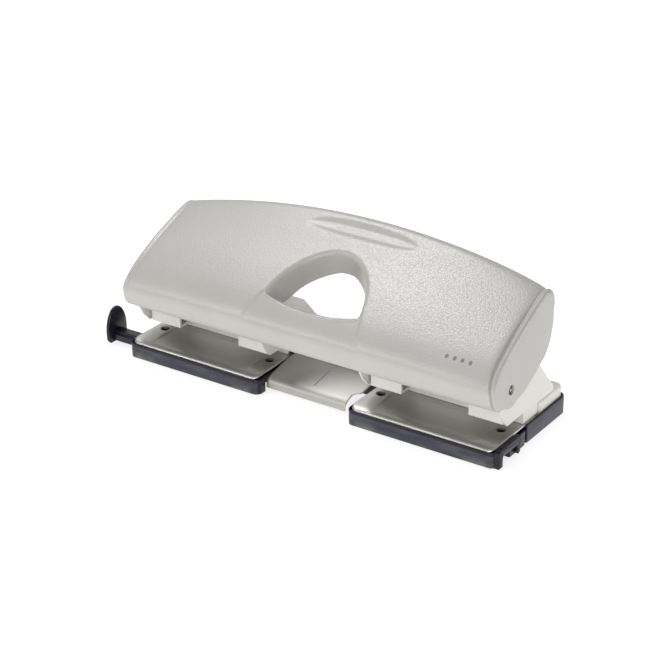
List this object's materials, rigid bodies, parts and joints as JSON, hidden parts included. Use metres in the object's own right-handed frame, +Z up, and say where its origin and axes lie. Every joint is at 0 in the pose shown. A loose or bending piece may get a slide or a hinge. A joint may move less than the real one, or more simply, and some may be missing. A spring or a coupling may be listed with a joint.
{
  "type": "four-hole paper punch",
  "caption": "Lever paper punch: twin punching units under one wide pressed steel lever with a hand hole, chip trays and a sliding paper guide.",
  "frame": {"origin": "on the floor under the centre of the base footprint", "axes": "+Z up, +X along the paper edge to the user's right, -Y towards the side the paper enters from"},
  "size_m": [0.2841, 0.0895, 0.097],
  "materials": {
    "paint": "satin fine-textured paint",
    "black_plastic": "smooth moulded",
    "plate_steel": "satin rolled sheet",
    "tool_steel": "ground",
    "spring_steel": "drawn wire and clips"
  },
  "bodies": {
    "base": {"base_plate": "paint", "bridge_plate": "plate_steel", "rear_base_cover": "black_plastic", "die_plate_left": "plate_steel", "die_plate_right": "plate_steel", "punch_frame_left": "paint", "punch_frame_right": "paint", "axle_left": "tool_steel", "axle_right": "tool_steel", "axle_clip_left": "spring_steel", "axle_clip_right": "spring_steel", "rivet_front_left": "tool_steel", "rivet_front_right": "tool_steel", "rivet_rear_left": "tool_steel", "rivet_rear_right": "tool_steel", "return_spring_outer_left": "spring_steel", "return_spring_inner_left": "spring_steel", "return_spring_inner_right": "spring_steel", "return_spring_outer_right": "spring_steel"},
    "lever": {"handle_shell": "paint", "press_bar_left": "tool_steel", "press_bar_right": "tool_steel"},
    "punch_outer_left": {"punch_outer_left": "tool_steel", "retaining_ring_outer_left": "spring_steel"},
    "punch_inner_left": {"punch_inner_left": "tool_steel", "retaining_ring_inner_left": "spring_steel"},
    "punch_inner_right": {"punch_inner_right": "tool_steel", "retaining_ring_inner_right": "spring_steel"},
    "punch_outer_right": {"punch_outer_right": "tool_steel", "retaining_ring_outer_right": "spring_steel"},
    "left_tray": {"chip_tray_left": "black_plastic"},
    "right_tray": {"chip_tray_right": "black_plastic"},
    "paper_guide": {"guide_bar": "black_plastic", "guide_knob": "black_plastic"}
  },
  "joints": [
    {"name": "lever_hinge", "type": "hinge", "parent": "base", "child": "lever", "pos_m": [0, -0.0273, 0.0434], "axis": [-1, 0, 0], "range_deg": [0, 38], "stiffness_Nm_per_rad": 0.35},
    {"name": "punch_outer_left_slide", "type": "slide", "parent": "base", "child": "punch_outer_left", "axis": [0, 0, -1], "range_m": [0, 0.007], "deforming": ["return_spring_outer_left"]},
    {"name": "punch_inner_left_slide", "type": "slide", "parent": "base", "child": "punch_inner_left", "axis": [0, 0, -1], "range_m": [0, 0.007], "deforming": ["return_spring_inner_left"]},
    {"name": "punch_inner_right_slide", "type": "slide", "parent": "base", "child": "punch_inner_right", "axis": [0, 0, -1], "range_m": [0, 0.007], "deforming": ["return_spring_inner_right"]},
    {"name": "punch_outer_right_slide", "type": "slide", "parent": "base", "child": "punch_outer_right", "axis": [0, 0, -1], "range_m": [0, 0.007], "deforming": ["return_spring_outer_right"]},
    {"name": "left_tray_slide", "type": "slide", "parent": "base", "child": "left_tray", "axis": [0, -1, 0], "range_m": [0, 0.034]},
    {"name": "right_tray_slide", "type": "slide", "parent": "base", "child": "right_tray", "axis": [0, -1, 0], "range_m": [0, 0.034]},
    {"name": "guide_slide", "type": "slide", "parent": "left_tray", "child": "paper_guide", "axis": [-1, 0, 0], "range_m": [-0.016, 0.0615]}
  ],
  "couplings": [
    {"joint": "punch_outer_left_slide", "follows": "lever_hinge", "m_per_rad": 0.010402},
    {"joint": "punch_inner_left_slide", "follows": "lever_hinge", "m_per_rad": 0.010402},
    {"joint": "punch_inner_right_slide", "follows": "lever_hinge", "m_per_rad": 0.010402},
    {"joint": "punch_outer_right_slide", "follows": "lever_hinge", "m_per_rad": 0.010402}
  ]
}
